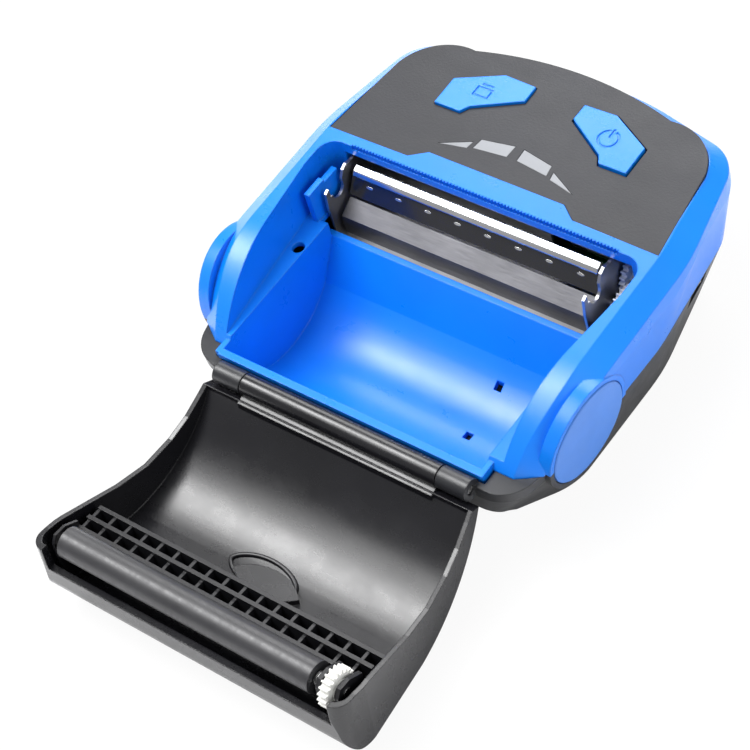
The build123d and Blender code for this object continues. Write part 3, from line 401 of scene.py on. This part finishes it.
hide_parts("head_marks")

# Raised outline of the finger recess on the inside of the lid
EYE_X = -3.0 * MM
EYE_Y = -60.5 * MM
EYE_HALF = 10.4 * MM
EYE_RISE = 4.2 * MM
EYE_R = 0.62 * MM
EYE_SINK = 0.25 * MM
ARC_Y = -61.33 * MM         # centre of the round inside of the open lid
ARC_Z = 47.56 * MM
ARC_R = 41.4 * MM
EYE_BLUNT = 0.3             # how much the outline narrows to its tips
EYE_STEPS = 48
RIM_SIDES = 8
eye = []
for k in range(EYE_STEPS):
    around = 2 * math.pi * k / EYE_STEPS
    x = EYE_X + EYE_HALF * math.cos(around)
    y = EYE_Y + EYE_RISE * math.sin(around) * abs(math.sin(around)) ** EYE_BLUNT
    z = ARC_Z - math.sqrt((ARC_R - EYE_SINK) ** 2 - (y - ARC_Y) ** 2)
    eye.append(Vector((x, y, z)))
rim_points = []
rim_faces = []
for k in range(EYE_STEPS):
    ahead = (eye[(k + 1) % EYE_STEPS] - eye[k - 1]).normalized()
    upward = Vector((0.0, ARC_Y - eye[k].y, ARC_Z - eye[k].z)).normalized()
    aside = ahead.cross(upward).normalized()
    for turn in range(RIM_SIDES):
        angle = 2 * math.pi * turn / RIM_SIDES
        rim_points.append(eye[k] + EYE_R * (math.cos(angle) * aside + math.sin(angle) * upward))
        here, after = k * RIM_SIDES + turn, k * RIM_SIDES + (turn + 1) % RIM_SIDES
        ring = ((k + 1) % EYE_STEPS) * RIM_SIDES
        rim_faces.append((here, ring + turn, ring + (turn + 1) % RIM_SIDES, after))
eye_rim = shape("recess_outline", rim_points, rim_faces, rib_grey, "lid")
for face in eye_rim.data.polygons:
    face.use_smooth = True

# Stage
FLOOR_SIZE = 8.0
FLOOR_COLOUR = (0.86, 0.86, 0.87, 1)
FLOOR_GLOW = 0.93           # share of white that the camera sees in place of the floor
AMBIENT = 0.42
floor_mat = bpy.data.materials.new("floor")
floor_mat.use_nodes = True
ft = floor_mat.node_tree
ft.nodes.clear()
out = ft.nodes.new("ShaderNodeOutputMaterial")
diff = ft.nodes.new("ShaderNodeBsdfDiffuse")
diff.inputs["Color"].default_value = FLOOR_COLOUR
glow = ft.nodes.new("ShaderNodeEmission")
glow.inputs["Color"].default_value = (1, 1, 1, 1)
glow.inputs["Strength"].default_value = 1.0
path = ft.nodes.new("ShaderNodeLightPath")
fac = ft.nodes.new("ShaderNodeMath")
fac.operation = "MULTIPLY"
fac.inputs[1].default_value = FLOOR_GLOW
mixer = ft.nodes.new("ShaderNodeMixShader")
ft.links.new(path.outputs["Is Camera Ray"], fac.inputs[0])
ft.links.new(fac.outputs[0], mixer.inputs[0])
ft.links.new(diff.outputs[0], mixer.inputs[1])
ft.links.new(glow.outputs[0], mixer.inputs[2])
ft.links.new(mixer.outputs[0], out.inputs["Surface"])
bpy.ops.mesh.primitive_plane_add(size=FLOOR_SIZE, location=(0, 0, 0))
floor = bpy.context.object
floor.name = "floor"
floor.data.materials.append(floor_mat)

world = bpy.data.worlds.new("studio")
bpy.context.scene.world = world
world.use_nodes = True
wt = world.node_tree
bg = wt.nodes["Background"]
bg.inputs["Color"].default_value = (1.0, 1.0, 1.0, 1)
bg.inputs["Strength"].default_value = AMBIENT


def softbox(name, place, aim, size, power):
    """A rectangular area lamp aimed at a point, its power in watts."""
    lamp_data = bpy.data.lights.new(name, "AREA")
    lamp_data.shape = "RECTANGLE"
    lamp_data.size, lamp_data.size_y = size
    lamp_data.energy = power
    o = bpy.data.objects.new(name, lamp_data)
    bpy.context.scene.collection.objects.link(o)
    o.location = place
    o.rotation_mode = "QUATERNION"
    o.rotation_quaternion = (Vector(aim) - Vector(place)).to_track_quat("-Z", "Y")
    return o


softbox("key", (-0.35, -0.15, 0.95), (0, 0, 0), (0.7, 0.7), 10.0)
softbox("overhead", (-0.62, -0.12, 1.02), (0, 0, 0.02), (0.30, 0.45), 6.5)
softbox("rear", (-0.30, 0.85, 0.75), (0, 0, 0.02), (0.9, 0.5), 10.0)
softbox("right", (0.95, 0.05, 0.45), (0, 0, 0.02), (0.6, 0.6), 4.0)

# Camera, set where the photograph was taken from
LENS = 116.46               # for a sensor 36 mm wide
CAMERA_PLACE = (0.3033, -0.2500, 0.4897)
CAMERA_RIGHT = (0.7865, 0.5793, -0.2141)
CAMERA_BACK = (0.5036, -0.4008, 0.7654)
cam_data = bpy.data.cameras.new("camera")
cam_data.sensor_width = 36.0
cam_data.lens = LENS
cam_data.clip_start = 0.01
cam_data.clip_end = 20.0
cam = bpy.data.objects.new("camera", cam_data)
bpy.context.scene.collection.objects.link(cam)
right = Vector(CAMERA_RIGHT).normalized()
back = Vector(CAMERA_BACK).normalized()
up = back.cross(right).normalized()
right = up.cross(back).normalized()
rows = [(*axes, place) for *axes, place in zip(right, up, back, CAMERA_PLACE)]
cam.matrix_world = Matrix((*rows, (0, 0, 0, 1)))
bpy.context.scene.camera = cam
bpy.context.scene.view_settings.view_transform = "Standard"
